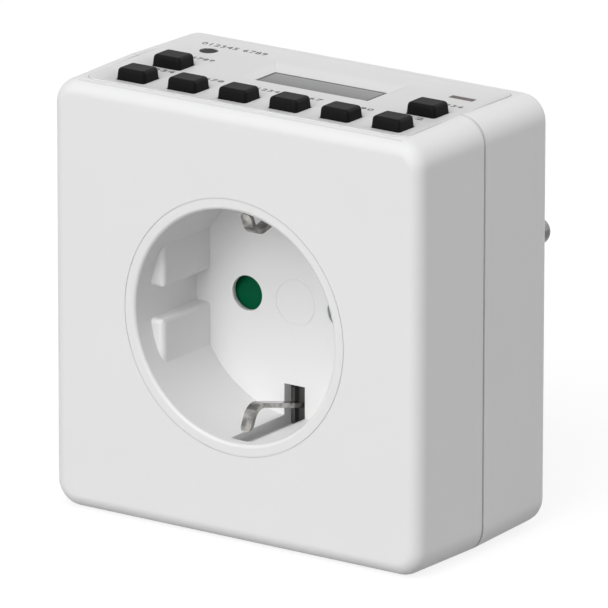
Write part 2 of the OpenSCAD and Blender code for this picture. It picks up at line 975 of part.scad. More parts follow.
// Disc inside the plug that locates both pins
module pin_carrier() {
    color("whitesmoke")
        difference() {
            rod_y(carrier_disc_depth, carrier_disc_depth + carrier_disc_t, plug_cavity_r - FIT);
            for (x = SIDES)
                rod_y(
                    carrier_disc_depth - CUT,
                    carrier_disc_depth + carrier_disc_t + CUT,
                    pin_shank_r + RUN_FIT,
                    x * hole_x,
                    0
                );
        }
}

// ---------------------------------------------------------------- control panel

led_place = [panel_w / 2 - 6.95, panel_end - 6.05];
led_slot = [4.7, 1.1];
reset_place = [-panel_w / 2 + 6.35, panel_end - 5.85];
peg_x = panel_w / 2 - 13.45;
peg_places = [for (x = SIDES, depth = [window_depth - 8.55, panel_end - 3.1]) [x * peg_x, depth]];
peg_r = 1.7;
key_clear = 0.12;
key_corner = 0.4;
window_rim_front = 1.1;
window_rim_back = 3;
window_rim_side = 2;

function key_x(i) = (i - (FRONT_KEYS + 1) / 2) * key_pitch;
rear_key_x = key_x(FRONT_KEYS);
rear_key_depth = key_row_depth + key_row_pitch;

key_places = concat(
    [for (i = [1:FRONT_KEYS]) [key_x(i), key_row_depth]],
    [[-rear_key_x, rear_key_depth], [rear_key_x, rear_key_depth]]
);

// Sunk field with four sloping sides: depths and half width of its floor, and how far each side runs out
module sloped_well(low, high, front, back, half, front_run, back_run, side_run) {
    intersection() {
        span_x(body_w)
            polygon([
                [front, low],
                [front - front_run, high],
                [front - front_run, high + CUT],
                [back + back_run, high + CUT],
                [back + back_run, high],
                [back, low]
            ]);
        span_y(0, body_d)
            polygon([
                [-half, low],
                [-half - side_run, high],
                [-half - side_run, high + CUT],
                [half + side_run, high + CUT],
                [half + side_run, high],
                [half, low]
            ]);
    }
}

// The panel's field, sunk within its border
module panel_field() {
    border = border_w + FIT;
    sloped_well(
        panel_top,
        border_top,
        face_wall + border + border_run,
        panel_end - border - border_run / 2,
        panel_w / 2 - border - border_run,
        border_run,
        border_run / 2,
        border_run
    );
}

// Sunk bay of the display
module window_bay() {
    sloped_well(
        panel_top - window_sink,
        panel_top,
        window_depth - window_d / 2,
        window_depth + window_d / 2,
        window_w / 2,
        window_rim_front,
        window_rim_back,
        window_rim_side
    );
}

module control_panel() {
    color([0.86, 0.86, 0.86])
        difference() {
            union() {
                span_z(panel_under, border_top)
                    panel_plan(-FIT);
                for (p = peg_places)
                    rod_z(control_top, panel_under + CUT, peg_r, p[0], p[1]);
            }
            panel_field();
            window_bay();
            span_z(panel_under - CUT, panel_top)
                translate([0, window_depth])
                    square([window_w, window_d], center = true);
            span_z(panel_under - CUT, panel_top + CUT) {
                for (p = key_places)
                    translate(p)
                        rounded_outline(key_w + 2 * key_clear, key_d + 2 * key_clear, key_corner + key_clear);
                translate(led_place)
                    square(led_slot, center = true);
            }
            rod_z(panel_under - CUT, panel_top + CUT, reset_r, reset_place[0], reset_place[1]);
            for (p = peg_places)
                rod_z(control_top - CUT, panel_under - 0.8, small_screw_r + RUN_FIT, p[0], p[1]);
        }
}

// Key: a tapered cap with rounded edges, a flange under the panel and a plunger
module key(place) {
    taper = 0.2;
    flange_gap = 0.08;
    flange_t = 0.8;
    flange_w = key_w + 1;
    flange_d = key_d + 1;
    plunger_r = 1.5;
    foot = control_top + mat_t + dome_h + key_travel + FIT;
    flange_top = panel_under - flange_gap;
    color(KEY_GREY) {
        translate([place[0], y_at(place[1]), 0])
            hull()
                for (x = SIDES, y = SIDES) {
                    translate([
                        x * (key_w / 2 - taper - key_round),
                        y * (key_d / 2 - taper - key_round),
                        panel_top + key_h - key_round
                    ])
                        sphere(r = key_round, $fn = 20);
                    translate([x * (key_w / 2 - key_corner), y * (key_d / 2 - key_corner), panel_top - 0.1])
                        cylinder(r = key_corner, h = 0.4, $fn = 20);
                }
        span_z(flange_top - CUT, panel_top + 0.1)
            translate(place)
                rounded_outline(key_w, key_d, key_corner);
        span_z(flange_top - flange_t, flange_top)
            translate(place)
                rounded_outline(flange_w, flange_d, key_corner);
        rod_z(foot, flange_top - flange_t + CUT / 2, plunger_r, place[0], place[1]);
    }
}

module rear_key_left() {
    key([-rear_key_x, rear_key_depth]);
}

module rear_key_right() {
    key([rear_key_x, rear_key_depth]);
}

module reset_button() {
    sink = 0.15;
    flange_gap = 0.08;
    flange_t = 0.8;
    top = panel_under - flange_gap;
    color(KEY_GREY) {
        rod_z(top - CUT, panel_top - sink, reset_r - key_clear, reset_place[0], reset_place[1]);
        rod_z(top - flange_t, top, reset_r + 0.7, reset_place[0], reset_place[1]);
        rod_z(
            control_top + switch_h + reset_travel + FIT,
            top - flange_t + CUT / 2,
            reset_r / 2,
            reset_place[0],
            reset_place[1]
        );
    }
}

mat_t = 0.8;
dome_h = 0.5;
switch_h = 1.6;

// Rubber sheet with a dome under each key
module keypad_mat() {
    mat_w = 5 * key_pitch + 8;
    dome_r = 1.5;
    mat_front = key_row_depth - 4.2;
    mat_back = key_row_depth + 4.4;
    tab_back = rear_key_depth + 3.6;
    color("dimgray") {
        block([-mat_w / 2, mat_w / 2], [mat_front, mat_back], [control_top, control_top + mat_t]);
        for (x = SIDES)
            block(
                [x * rear_key_x - 4, x * rear_key_x + 4],
                [mat_back - CUT, tab_back],
                [control_top, control_top + mat_t]
            );
        for (p = key_places)
            rod_z(control_top, control_top + mat_t + dome_h, dome_r, p[0], p[1]);
    }
}

module reset_switch() {
    case_w = 4;
    color("black") {
        block(
            [reset_place[0] - case_w / 2, reset_place[0] + case_w / 2],
            [reset_place[1] - case_w / 2, reset_place[1] + case_w / 2],
            [control_top, control_top + switch_h - 0.4]
        );
        rod_z(control_top, control_top + switch_h, reset_r * 0.8, reset_place[0], reset_place[1]);
    }
}

lens_sink = 0.4;
lens_flange_t = 0.5;
glass_top = panel_under - lens_flange_t - FIT;
glass_w = window_w + 3.6;
glass_d = window_d + 4.8;

module window_slab(w, d, low, high) {
    block([-w / 2, w / 2], [window_depth - d / 2, window_depth + d / 2], [low, high]);
}

module lcd_window() {
    flange_w = 1.3;
    color([0.8, 0.85, 0.85, 0.4]) {
        window_slab(
            window_w - 2 * FIT,
            window_d - 2 * FIT,
            panel_under,
            panel_top - window_sink - lens_sink
        );
        window_slab(
            window_w + 2 * flange_w,
            window_d + 2 * flange_w,
            panel_under - lens_flange_t,
            panel_under
        );
    }
}

module lcd_glass() {
    color([0.62, 0.64, 0.62])
        window_slab(glass_w, glass_d, glass_top - glass_t, glass_top);
}

module lcd_holder() {
    rim = 1.4;
    color("whitesmoke")
        difference() {
            window_slab(glass_w + 2 * rim, glass_d + 2 * rim, control_top, glass_top - 0.2);
            window_slab(glass_w + 2 * FIT, glass_d + 2 * FIT, control_top - CUT, glass_top + CUT);
        }
}

// Rubber connectors between the glass and the board
module zebra_strips() {
    strip_d = 1.5;
    offset_d = glass_d / 2 - strip_d / 2 - 0.2;
    color("dimgray")
        for (side = SIDES)
            block(
                [-glass_w / 2 + 1, glass_w / 2 - 1],
                [
                    window_depth + side * offset_d - strip_d / 2,
                    window_depth + side * offset_d + strip_d / 2
                ],
                [control_top, glass_top - glass_t]
            );
}

module light_pipe() {
    color([0.55, 0.12, 0.14])
        block(
            [led_place[0] - led_slot[0] / 2 + FIT, led_place[0] + led_slot[0] / 2 - FIT],
            [led_place[1] - led_slot[1] / 2 + FIT, led_place[1] + led_slot[1] / 2 - FIT],
            [control_top + switch_h + FIT, panel_top - FIT]
        );
}

module status_led() {
    color("crimson")
        block(
            [led_place[0] - 1.6, led_place[0] + 1.6],
            [led_place[1] - 0.9, led_place[1] + 0.9],
            [control_top, control_top + switch_h]
        );
}

module control_board() {
    half = panel_w / 2 - 1.95;
    color(BOARD_GREEN)
        difference() {
            block([-half, half], [board_front, panel_end - 1.1], [control_under, control_top]);
            for (p = peg_places)
                rod_z(control_under - CUT, control_top + CUT, small_screw_r + 0.15, p[0], p[1]);
        }
}

module board_screws() {
    color(METAL)
        for (p = peg_places) {
            rod_z(control_under - small_head_h, control_under, small_head_r, p[0], p[1]);
            rod_z(control_under - CUT, panel_under - 1.2, small_screw_r, p[0], p[1]);
        }
}

module control_chip() {
    chip_w = 0.9 * key_pitch;
    chip_t = 1.4;
    color("black")
        block(
            [chip_w / 2, chip_w * 1.5],
            [key_row_depth - chip_w / 4, key_row_depth + chip_w * 3 / 4],
            [control_under - chip_t, control_under]
        );
}

module backup_battery() {
    depth = board_front + REST_GAP + battery_r;
    color(METAL)
        rod_z(collar_r + REST_GAP, control_under, battery_r, -1.1 * key_pitch, depth);
}

// ---------------------------------------------------------------- power board

header_size = [3, 6.4, 4];
ribbon_x = -power_half + header_size[0] / 2;
ribbon_depth = inner_rear - header_size[1] / 2 - 0.65;
relay_left = power_half - REST_GAP - relay_w;
film_right = -hole_x + link_w / 2;

module board_headers() {
    color("ivory")
        for (z = [power_top, control_under - header_size[2]])
            block(
                [ribbon_x - header_size[0] / 2, ribbon_x + header_size[0] / 2],
                [ribbon_depth - header_size[1] / 2, ribbon_depth + header_size[1] / 2],
                [z, z + header_size[2]]
            );
}

module ribbon_cable() {
    wires = 6;
    wire_r = 0.45;
    wire_pitch = 0.85;
    color("lightgray")
        for (i = [0:wires - 1])
            rod_z(
                power_top + header_size[2],
                control_under - header_size[2],
                wire_r,
                ribbon_x,
                ribbon_depth + (i - (wires - 1) / 2) * wire_pitch
            );
}

module power_board() {
    color(BOARD_GREEN)
        block([-power_half, power_half], [board_front, inner_rear - 0.05], [power_under, power_top]);
}

module relay() {
    color([0.15, 0.25, 0.5])
        block(
            [relay_left, relay_left + relay_w],
            [floor_back + 0.35, link_depth - 0.15],
            [power_top, relay_top]
        );
}

module film_capacitor() {
    header_gap = 1.1;
    back = ribbon_depth - header_size[1] / 2 - header_gap;
    color([0.75, 0.65, 0.2])
        block(
            [-power_half + REST_GAP, film_right],
            [back - film_cap_d, back],
            [power_top, -ring_r - 4]
        );
}

module smoothing_capacitor() {
    x = (film_right + relay_left) / 2;
    color([0.1, 0.1, 0.3])
        rod_z(power_top, -clip_root - 2.7, round_cap_r, x, link_depth - round_cap_r - 1);
}

module varistor() {
    x = -power_half + 4.5;
    depth = board_front + varistor_r + 1;
    t = 3.8;
    lead_r = 0.4;
    lift = 0.3;
    color([0.15, 0.35, 0.65]) {
        translate([x, y_at(depth), power_top + lift + varistor_r])
            rotate([0, 90, 0])
                cylinder(r = varistor_r, h = t, center = true);
        for (side = SIDES)
            rod_z(power_top, power_top + varistor_r, lead_r, x, depth + side * varistor_r / 2);
    }
}

// Axial part lying on the power board, on its own bent leads
module axial_part(x, depth, len, r) {
    lead_r = 0.3;
    leg_r = 0.4;
    axis_z = power_top + r + 0.3;
    reach = len / 2 + 1.2;
    translate([x, y_at(depth), axis_z])
        rotate([0, 90, 0]) {
            cylinder(r = r, h = len, center = true);
            cylinder(r = lead_r, h = 2 * reach, center = true);
        }
    for (side = SIDES)
        rod_z(power_top, axis_z + leg_r, leg_r, x + side * reach, depth);
}

module rectifier_diodes() {
    first = board_front + 2;
    color("dimgray")
        for (i = [0:3])
            axial_part(-power_half / 2, first + 2.6 * diode_r * i, diode_len, diode_r);
}

module dropper_resistors() {
    first = board_front + 2.5;
    color([0.6, 0.75, 0.85])
        for (i = [0:2])
            axial_part(power_half / 2, first + 2.7 * resistor_r * i, resistor_len, resistor_r);
}

// ---------------------------------------------------------------- the nodes

front_housing();
rear_housing();
housing_screws();
socket_insert();
insert_screws();
shutter();
shutter_spring();
contact_carrier();
carrier_screws();
upper_earth_clip();
lower_earth_clip();
earth_bridge();
upper_plug_earth();
lower_plug_earth();
line_contact();
neutral_contact();
line_link();
neutral_link();
switched_link();
plug_body();
line_pin();
neutral_pin();
pin_carrier();
control_panel();
lcd_window();
lcd_glass();
lcd_holder();
zebra_strips();
keypad_mat();
for (i = [1:FRONT_KEYS])
    key([key_x(i), key_row_depth]);
rear_key_left();
rear_key_right();
reset_button();
reset_switch();
light_pipe();
status_led();
control_board();
board_screws();
control_chip();
backup_battery();
board_headers();
ribbon_cable();
power_board();
relay();
film_capacitor();
smoothing_capacitor();
varistor();
rectifier_diodes();
dropper_resistors();
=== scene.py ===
"""Looks of the plug-in timer switch: finishes, fine detail, studio and camera."""
import math

import bmesh
import bpy
from mathutils import Matrix, Vector


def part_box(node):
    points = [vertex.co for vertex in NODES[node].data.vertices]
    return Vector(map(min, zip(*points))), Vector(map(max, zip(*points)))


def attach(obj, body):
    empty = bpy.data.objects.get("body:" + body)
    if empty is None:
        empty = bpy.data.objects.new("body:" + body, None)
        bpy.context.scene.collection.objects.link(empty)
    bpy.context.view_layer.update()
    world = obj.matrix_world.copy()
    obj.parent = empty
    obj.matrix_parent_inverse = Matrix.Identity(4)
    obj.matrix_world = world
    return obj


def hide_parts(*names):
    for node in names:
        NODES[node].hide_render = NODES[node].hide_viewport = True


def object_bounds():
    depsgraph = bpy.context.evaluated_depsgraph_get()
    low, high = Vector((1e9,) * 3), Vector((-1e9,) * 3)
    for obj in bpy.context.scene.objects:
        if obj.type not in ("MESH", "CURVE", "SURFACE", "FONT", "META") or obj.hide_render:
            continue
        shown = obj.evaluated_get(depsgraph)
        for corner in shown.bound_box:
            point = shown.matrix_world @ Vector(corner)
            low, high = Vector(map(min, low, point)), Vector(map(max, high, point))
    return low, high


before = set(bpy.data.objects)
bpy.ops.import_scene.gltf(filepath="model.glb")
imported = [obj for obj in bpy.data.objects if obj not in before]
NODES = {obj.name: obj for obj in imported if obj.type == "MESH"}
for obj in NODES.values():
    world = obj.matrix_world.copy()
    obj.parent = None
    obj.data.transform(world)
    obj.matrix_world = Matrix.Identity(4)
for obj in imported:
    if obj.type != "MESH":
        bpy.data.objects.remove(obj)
cad_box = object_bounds()

MM = 0.001
ROOT = "housing"
CORNERS = ((-1, -1), (1, -1), (1, 1), (-1, 1))  # signs of a rectangle's corners, anticlockwise
PLUG_FACE = 57.55  # depth of the frame's origin behind the front, in mm


def at(x, depth, z):
    """Row-frame point of a place given in mm, with the depth counted from the front."""
    return Vector((x, depth - PLUG_FACE, z)) * MM


def box_mm(node):
    """Lowest and highest (x, depth, z) of a node, in mm."""
    return [(corner.x / MM, corner.y / MM + PLUG_FACE, corner.z / MM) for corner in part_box(node)]


def new_object(name, data):
    """Object of a mesh, curve, light or camera, linked to the scene."""
    made = bpy.data.objects.new(name, data)
    bpy.context.scene.collection.objects.link(made)
    return made


# ------------------------------------------------------------------ shader nodes


def calc(tree, operation, a, b=None):
    """Math node on one or two values, each a number or the output of a node."""
    node = tree.nodes.new("ShaderNodeMath")
    node.operation = operation
    for value, socket in ((a, node.inputs[0]), (b, node.inputs[1])):
        if isinstance(value, (int, float)):
            socket.default_value = value
        elif value is not None:
            tree.links.new(value, socket)
    return node.outputs[0]


def place(tree):
    """Row-frame coordinates in m: outputs X, Y and Z."""
    coordinates = tree.nodes.new("ShaderNodeTexCoord")
    split = tree.nodes.new("ShaderNodeSeparateXYZ")
    tree.links.new(coordinates.outputs["Object"], split.inputs["Vector"])
    return split.outputs


def noise(tree, scale, detail=3.0, rough=0.55, stretch=(1, 1, 1)):
    """3-D noise in the row frame, so that it needs no UVs."""
    coordinates = tree.nodes.new("ShaderNodeTexCoord")
    mapping = tree.nodes.new("ShaderNodeMapping")
    mapping.inputs["Scale"].default_value = stretch
    tree.links.new(coordinates.outputs["Object"], mapping.inputs["Vector"])
    tex = tree.nodes.new("ShaderNodeTexNoise")
    tex.inputs["Scale"].default_value = scale
    tex.inputs["Detail"].default_value = detail
    tex.inputs["Roughness"].default_value = rough
    tree.links.new(mapping.outputs["Vector"], tex.inputs["Vector"])
    return tex.outputs["Fac"]


def ramp(tree, value, run, low, high):
    """Colour that goes from low to high while the value goes through the run."""
    node = tree.nodes.new("ShaderNodeValToRGB")
    for stop, position, colour in zip(node.color_ramp.elements, run, (low, high)):
        stop.position = position
        stop.color = colour
    tree.links.new(value, node.inputs["Fac"])
    return node.outputs["Color"]


def span(tree, value, low, high, run=(0.0, 1.0), easing="LINEAR"):
    """Number that goes from low to high while the value goes through the run."""
    node = tree.nodes.new("ShaderNodeMapRange")
    node.interpolation_type = easing
    node.inputs["From Min"].default_value = run[0]
    node.inputs["From Max"].default_value = run[1]
    node.inputs["To Min"].default_value = low
    node.inputs["To Max"].default_value = high
    tree.links.new(value, node.inputs["Value"])
    return node.outputs["Result"]


def product(tree, colour, factor):
    """Colour times another colour or number."""
    node = tree.nodes.new("ShaderNodeMixRGB")
    node.blend_type = "MULTIPLY"
    node.inputs["Fac"].default_value = 1.0
    tree.links.new(colour, node.inputs["Color1"])
    tree.links.new(factor, node.inputs["Color2"])
    return node.outputs["Color"]


def bump(tree, heights, distance):
    """Chain of bumps, coarse first."""
    normal = None
    for value, share in heights:
        node = tree.nodes.new("ShaderNodeBump")
        node.inputs["Distance"].default_value = distance * share
        node.inputs["Strength"].default_value = 1.0
        tree.links.new(value, node.inputs["Height"])
        if normal is not None:
            tree.links.new(normal, node.inputs["Normal"])
        normal = node.outputs["Normal"]
    return normal


# ------------------------------------------------------------------ finishes


def material(name):
    m = bpy.data.materials.new(name)
    m.use_nodes = True
    tree = m.node_tree
    return m, tree, tree.nodes["Principled BSDF"]


def shade(colour, factor):
    return tuple(min(1.0, c * factor) for c in colour) + (1.0,)


# Moulded finishes: the slow drift per m, its share of the bump, the noise's range that the colour uses,
# and how far the roughness goes either way
DRIFT = 45.0
DRIFT_BUMP = 0.6
DRIFT_RUN = (0.35, 0.65)
ROUGH_HALF = 0.05


def moulded(name, colour, rough, vary=0.02, grain=900.0, depth=0.00001, gloss=0.5):
    """Moulded or rolled surface: slight colour drift, fine grain (per m) in bump (m) and roughness."""
    m, tree, bsdf = material(name)
    drift = noise(tree, DRIFT, detail=2.0)
    fine = noise(tree, grain, rough=0.6)
    tint = ramp(tree, drift, DRIFT_RUN, shade(colour, 1 - vary), shade(colour, 1 + vary))
    tree.links.new(tint, bsdf.inputs["Base Color"])
    tree.links.new(span(tree, fine, rough - ROUGH_HALF, rough + ROUGH_HALF), bsdf.inputs["Roughness"])
    tree.links.new(bump(tree, [(drift, DRIFT_BUMP), (fine, 1.0)], depth), bsdf.inputs["Normal"])
    bsdf.inputs["Specular IOR Level"].default_value = gloss
    return m


# Brushed finishes: lines per m, their share of that along the metal, their bump in m, the noise's range
# that the tarnish uses (on the clips also painted reflections), and how far the roughness goes down and up
LINES = 1600.0
LINES_ALONG = 0.04
LINE_BUMP = 0.000004
CLOUD_RUN = (0.38, 0.62)
LINE_ROUGH = (0.06, 0.08)


def brushed(name, colour, rough, along, clouds=160.0, low=0.92, high=1.06):
    """Metal with fine lines along one axis of the row frame, and clouds of tarnish (per m) that on the clips
    are also painted reflection.
    """
    m, tree, bsdf = material(name)
    stretch = tuple(LINES_ALONG if i == along else 1.0 for i in range(3))
    lines = noise(tree, LINES, detail=2.0, rough=0.6, stretch=stretch)
    cloud = noise(tree, clouds)
    tint = ramp(tree, cloud, CLOUD_RUN, shade(colour, low), shade(colour, high))
    roughness = span(tree, lines, rough - LINE_ROUGH[0], rough + LINE_ROUGH[1])
    tree.links.new(tint, bsdf.inputs["Base Color"])
    tree.links.new(roughness, bsdf.inputs["Roughness"])
    tree.links.new(bump(tree, [(lines, 1.0)], LINE_BUMP), bsdf.inputs["Normal"])
    bsdf.inputs["Metallic"].default_value = 1.0
    return m


# Painted shade along joints, in mm: place and half-width of each, how dark its middle is, and where it ends
RIM_LINE = (21.71, 0.40)
RIM_SHADE = 0.97
RIM_LINE_END = 1.0
FRONT_LINE = (1.55, 0.34)
FRONT_SHADE = 0.86
FRONT_LINE_HALF = 32.0
FRONT_LINE_LOW = 36.0


def paint_joint_shade(m, distance, darkest):
    """Paints soft shade into a finish where a joint runs: distance(tree) is 0 in its middle and 1 outside.
    """
    tree = m.node_tree
    bsdf = tree.nodes["Principled BSDF"]
    tint = bsdf.inputs["Base Color"].links[0].from_socket
    factor = span(tree, distance(tree), darkest, 1.0, easing="SMOOTHSTEP")
    tree.links.new(product(tree, tint, factor), bsdf.inputs["Base Color"])


def place_mm(tree):
    return [calc(tree, "MULTIPLY", value, 1 / MM) for value in place(tree)]


def off_line(tree, value, line):
    """Distance of a value from the middle of a joint, in half-widths."""
    away = calc(tree, "ABSOLUTE", calc(tree, "SUBTRACT", value, line[0]))
    return calc(tree, "DIVIDE", away, line[1])


def rim_distance(tree):
    """Distance from the joint round the socket's rim, on the front face only."""
    x, y, z = place_mm(tree)
    squares = calc(tree, "ADD", calc(tree, "MULTIPLY", x, x), calc(tree, "MULTIPLY", z, z))
    radius = calc(tree, "SQRT", squares)
    behind = calc(tree, "GREATER_THAN", y, RIM_LINE_END - PLUG_FACE)
    return calc(tree, "MINIMUM", calc(tree, "ADD", off_line(tree, radius, RIM_LINE), behind), 1.0)


def front_distance(tree):
    """Distance from the joint in front of the control panel."""
    x, y, z = place_mm(tree)
    line = off_line(tree, y, (FRONT_LINE[0] - PLUG_FACE, FRONT_LINE[1]))
    aside = calc(tree, "GREATER_THAN", calc(tree, "ABSOLUTE", x), FRONT_LINE_HALF)
    below = calc(tree, "LESS_THAN", z, FRONT_LINE_LOW)
    return calc(tree, "MINIMUM", calc(tree, "ADD", calc(tree, "ADD", line, aside), below), 1.0)


# name, colour, roughness, then share of colour drift, grain per m, bump in m and gloss where they matter
SHELL = moulded("shell_plastic", (0.80, 0.80, 0.80), 0.50, 0.006, 1400.0, 0.000006, 0.40)
FRONT = moulded("front_plastic", (0.80, 0.80, 0.80), 0.50, 0.006, 1400.0, 0.000006, 0.40)
PANEL = moulded("panel_plastic", (0.745, 0.745, 0.745), 0.52, 0.008, 2600.0, 0.000012, 0.40)
INSERT = moulded("insert_plastic", (0.80, 0.80, 0.80), 0.45, 0.006, 1100.0, 0.000005, 0.40)
# Painted shade along the joint in front of the control panel and round the socket's rim
paint_joint_shade(FRONT, front_distance, FRONT_SHADE)
paint_joint_shade(FRONT, rim_distance, RIM_SHADE)
paint_joint_shade(INSERT, rim_distance, RIM_SHADE)
INNER = moulded("inner_plastic", (0.74, 0.72, 0.68), 0.45)
GREEN = moulded("shutter_green", (0.0, 0.092, 0.038), 0.40, 0.08, 700.0, 0.00001, 0.05)
KEY = moulded("key_rubber", (0.006, 0.006, 0.0065), 0.48, 0.12, 2400.0, 0.00002, 0.06)
GREY_RUBBER = moulded("grey_rubber", (0.10, 0.10, 0.105), 0.60, 0.08)
BLACK = moulded("black_plastic", (0.008, 0.008, 0.009), 0.50, 0.08, 900.0, 0.00001, 0.10)
# Dark border of the display: partly its real mask, partly a painted shadow of the window's edge
MASK_AND_SHADOW = moulded("display_mask_and_shadow", (0.035, 0.036, 0.037), 0.40, 0.06, 1500.0, 0.000003, 0.3)
INK = moulded("legend_ink", (0.045, 0.045, 0.05), 0.55, 0.10, 3000.0, 0.000004)
ROOT_METAL = moulded("root_metal", (0.10, 0.10, 0.098), 0.45, 0.15, 900.0, 0.00001, 0.3)
LAMP = moulded("lamp_lens", (0.085, 0.048, 0.055), 0.32, 0.25, 700.0, 0.000004, 0.15)
BOARD = moulded("circuit_board", (0.02, 0.115, 0.045), 0.38, 0.12, 500.0, 0.00003)
RELAY = moulded("relay_case", (0.016, 0.045, 0.20), 0.35, 0.05)
FILM = moulded("film_case", (0.42, 0.30, 0.03), 0.35, 0.06)
VARISTOR = moulded("varistor_coat", (0.012, 0.075, 0.34), 0.5, 0.12, 420.0, 0.00006)
RESISTOR = moulded("resistor_coat", (0.27, 0.42, 0.58), 0.5, 0.08, 600.0, 0.00003)
SLEEVE = moulded("cable_sleeve", (0.33, 0.33, 0.34), 0.5, 0.06)

# name, colour, roughness, axis of the lines
# Clips: strong dark and pale clouds, partly tarnish and partly painted reflections
CLIP = brushed("nickel_strip_tarnish_and_painted_reflection", (0.30, 0.295, 0.285), 0.14, 1, clouds=380.0, low=0.50, high=1.50)
# Pins: their dark base colour is a painted reflection of the dark shade behind the housing
PIN = brushed("nickel_pin", (0.13, 0.13, 0.133), 0.24, 1)
BRASS = brushed("brass_strip", (0.76, 0.56, 0.26), 0.30, 2)
ZINC = brushed("zinc_screw", (0.58, 0.58, 0.60), 0.34, 1)
WIRE = brushed("spring_wire", (0.45, 0.45, 0.46), 0.28, 1)
CAN = brushed("battery_can", (0.60, 0.60, 0.58), 0.30, 0)

# Opening above the display's window, which reaches under the panel by its flange: lowest and highest x and
# depth in mm
WINDOW_FLANGE = 1.3
WINDOW_LOW = [value + WINDOW_FLANGE for value in box_mm("lcd_window")[0][:2]]
WINDOW_HIGH = [value - WINDOW_FLANGE for value in box_mm("lcd_window")[1][:2]]

# Display: colour in front, darkened there by painted shade of the panel's front lip, and at the rear, grain
# per m, its bump in m, range of the roughness, and gloss
DISPLAY_NEAR_SHADED = (0.130, 0.132, 0.132, 1.0)
DISPLAY_FAR = (0.300, 0.302, 0.300, 1.0)
DISPLAY_GRAIN = 2600.0
DISPLAY_BUMP = 0.000002
DISPLAY_ROUGH = (0.32, 0.42)
DISPLAY_GLOSS = 0.3

# Bands along the display: their number per m, their stretch in x, and their darkest and palest tint
BANDS = 900.0
BAND_STRETCH = (0.01, 1.0, 1.0)
BAND_DARK = (0.93, 0.93, 0.93, 1.0)
BAND_PALE = (1.0, 1.0, 1.0, 1.0)


def display():
    """Grey reflective display: darker in front with painted shade of the panel's front lip, paler to the
    rear, with faint bands along it.
    """
    m, tree, bsdf = material("display_glass")
    grain = noise(tree, DISPLAY_GRAIN, detail=2.0)
    bands = noise(tree, BANDS, detail=1.0, rough=0.5, stretch=BAND_STRETCH)
    front_to_rear = (at(0, WINDOW_LOW[1], 0).y, at(0, WINDOW_HIGH[1], 0).y)
    across = span(tree, place(tree)["Y"], 0.0, 1.0, front_to_rear)
    # Painted shade: darker towards the front, where the panel's lip shades the display
    lip_shade = ramp(tree, across, (0.0, 1.0), DISPLAY_NEAR_SHADED, DISPLAY_FAR)
    tint = ramp(tree, bands, DRIFT_RUN, BAND_DARK, BAND_PALE)
    tree.links.new(product(tree, lip_shade, tint), bsdf.inputs["Base Color"])
    tree.links.new(span(tree, grain, *DISPLAY_ROUGH), bsdf.inputs["Roughness"])
    tree.links.new(bump(tree, [(grain, 1.0)], DISPLAY_BUMP), bsdf.inputs["Normal"])
    bsdf.inputs["Specular IOR Level"].default_value = DISPLAY_GLOSS
    return m


DISPLAY = display()

# Finish of each node; those that aren't named are rubber keys
FINISH = {
    "front_housing": FRONT, "rear_housing": SHELL, "plug_body": SHELL, "socket_insert": INSERT,
    "control_panel": PANEL, "shutter": GREEN, "shutter_spring": WIRE,
    "contact_carrier": INNER, "pin_carrier": INNER, "lcd_holder": INNER, "board_headers": INNER,
    "upper_earth_clip": CLIP, "lower_earth_clip": CLIP, "earth_bridge": CLIP,
    "upper_plug_earth": CLIP, "lower_plug_earth": CLIP,
    "line_contact": BRASS, "neutral_contact": BRASS, "line_link": BRASS, "neutral_link": BRASS,
    "switched_link": BRASS, "line_pin": PIN, "neutral_pin": PIN,
    "housing_screws": ZINC, "insert_screws": ZINC, "carrier_screws": ZINC, "board_screws": ZINC,
    "lcd_window": DISPLAY, "lcd_glass": DISPLAY, "zebra_strips": GREY_RUBBER, "keypad_mat": GREY_RUBBER,
    "reset_button": BLACK, "reset_switch": BLACK, "control_chip": BLACK, "smoothing_capacitor": BLACK,
    "rectifier_diodes": BLACK, "light_pipe": LAMP, "status_led": LAMP,
    "control_board": BOARD, "power_board": BOARD, "backup_battery": CAN, "ribbon_cable": SLEEVE,
    "relay": RELAY, "film_capacitor": FILM, "varistor": VARISTOR, "dropper_resistors": RESISTOR,
}

# Rounding of the edges, in mm; nodes that aren't named get SMALL_EDGE
SMALL_EDGE = 0.08
EDGE = {
    "front_housing": 0.20, "rear_housing": 0.16, "socket_insert": 0.28, "plug_body": 0.20,
    "control_panel": 0.22, "upper_earth_clip": 0.10, "lower_earth_clip": 0.10,
    "upper_plug_earth": 0.10, "lower_plug_earth": 0.10,
}

# Clean shading: distance in m within which vertices merge, angle in degrees within which faces are one
# plane, and angle in degrees from which an edge is rounded, in so many steps
MERGE = 0.000002
FLAT_ANGLE = 0.4
EDGE_ANGLE = 28.0
EDGE_STEPS = 2


def dress(o, finish, edge):
    """Gives an object its finish, round edges and clean shading by modifiers."""
    o.data.materials.clear()
    o.data.materials.append(finish)
    for p in o.data.polygons:
        p.use_smooth = True
        p.material_index = 0
    weld = o.modifiers.new("weld", "WELD")
    weld.merge_threshold = MERGE
    flat = o.modifiers.new("flat", "DECIMATE")
    flat.decimate_type = "DISSOLVE"
    flat.angle_limit = math.radians(FLAT_ANGLE)
    round_edge = o.modifiers.new("edge", "BEVEL")
    round_edge.width = edge * MM
    round_edge.segments = EDGE_STEPS
    round_edge.limit_method = "ANGLE"
    round_edge.angle_limit = math.radians(EDGE_ANGLE)
    round_edge.use_clamp_overlap = True
    round_edge.harden_normals = True
    even = o.modifiers.new("even", "WEIGHTED_NORMAL")
    even.keep_sharp = True


for node_name in NODES:
    dress(NODES[node_name], FINISH.get(node_name, KEY), EDGE.get(node_name, SMALL_EDGE))

# ------------------------------------------------------------------ pieces of the scene


def add_piece(name, mesh, slot_name, *stands_for):
    """Piece that is fixed to the housing."""
    piece = new_object(name, mesh)
    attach(piece, ROOT)
    if stands_for:
        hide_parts(*stands_for)
    return piece


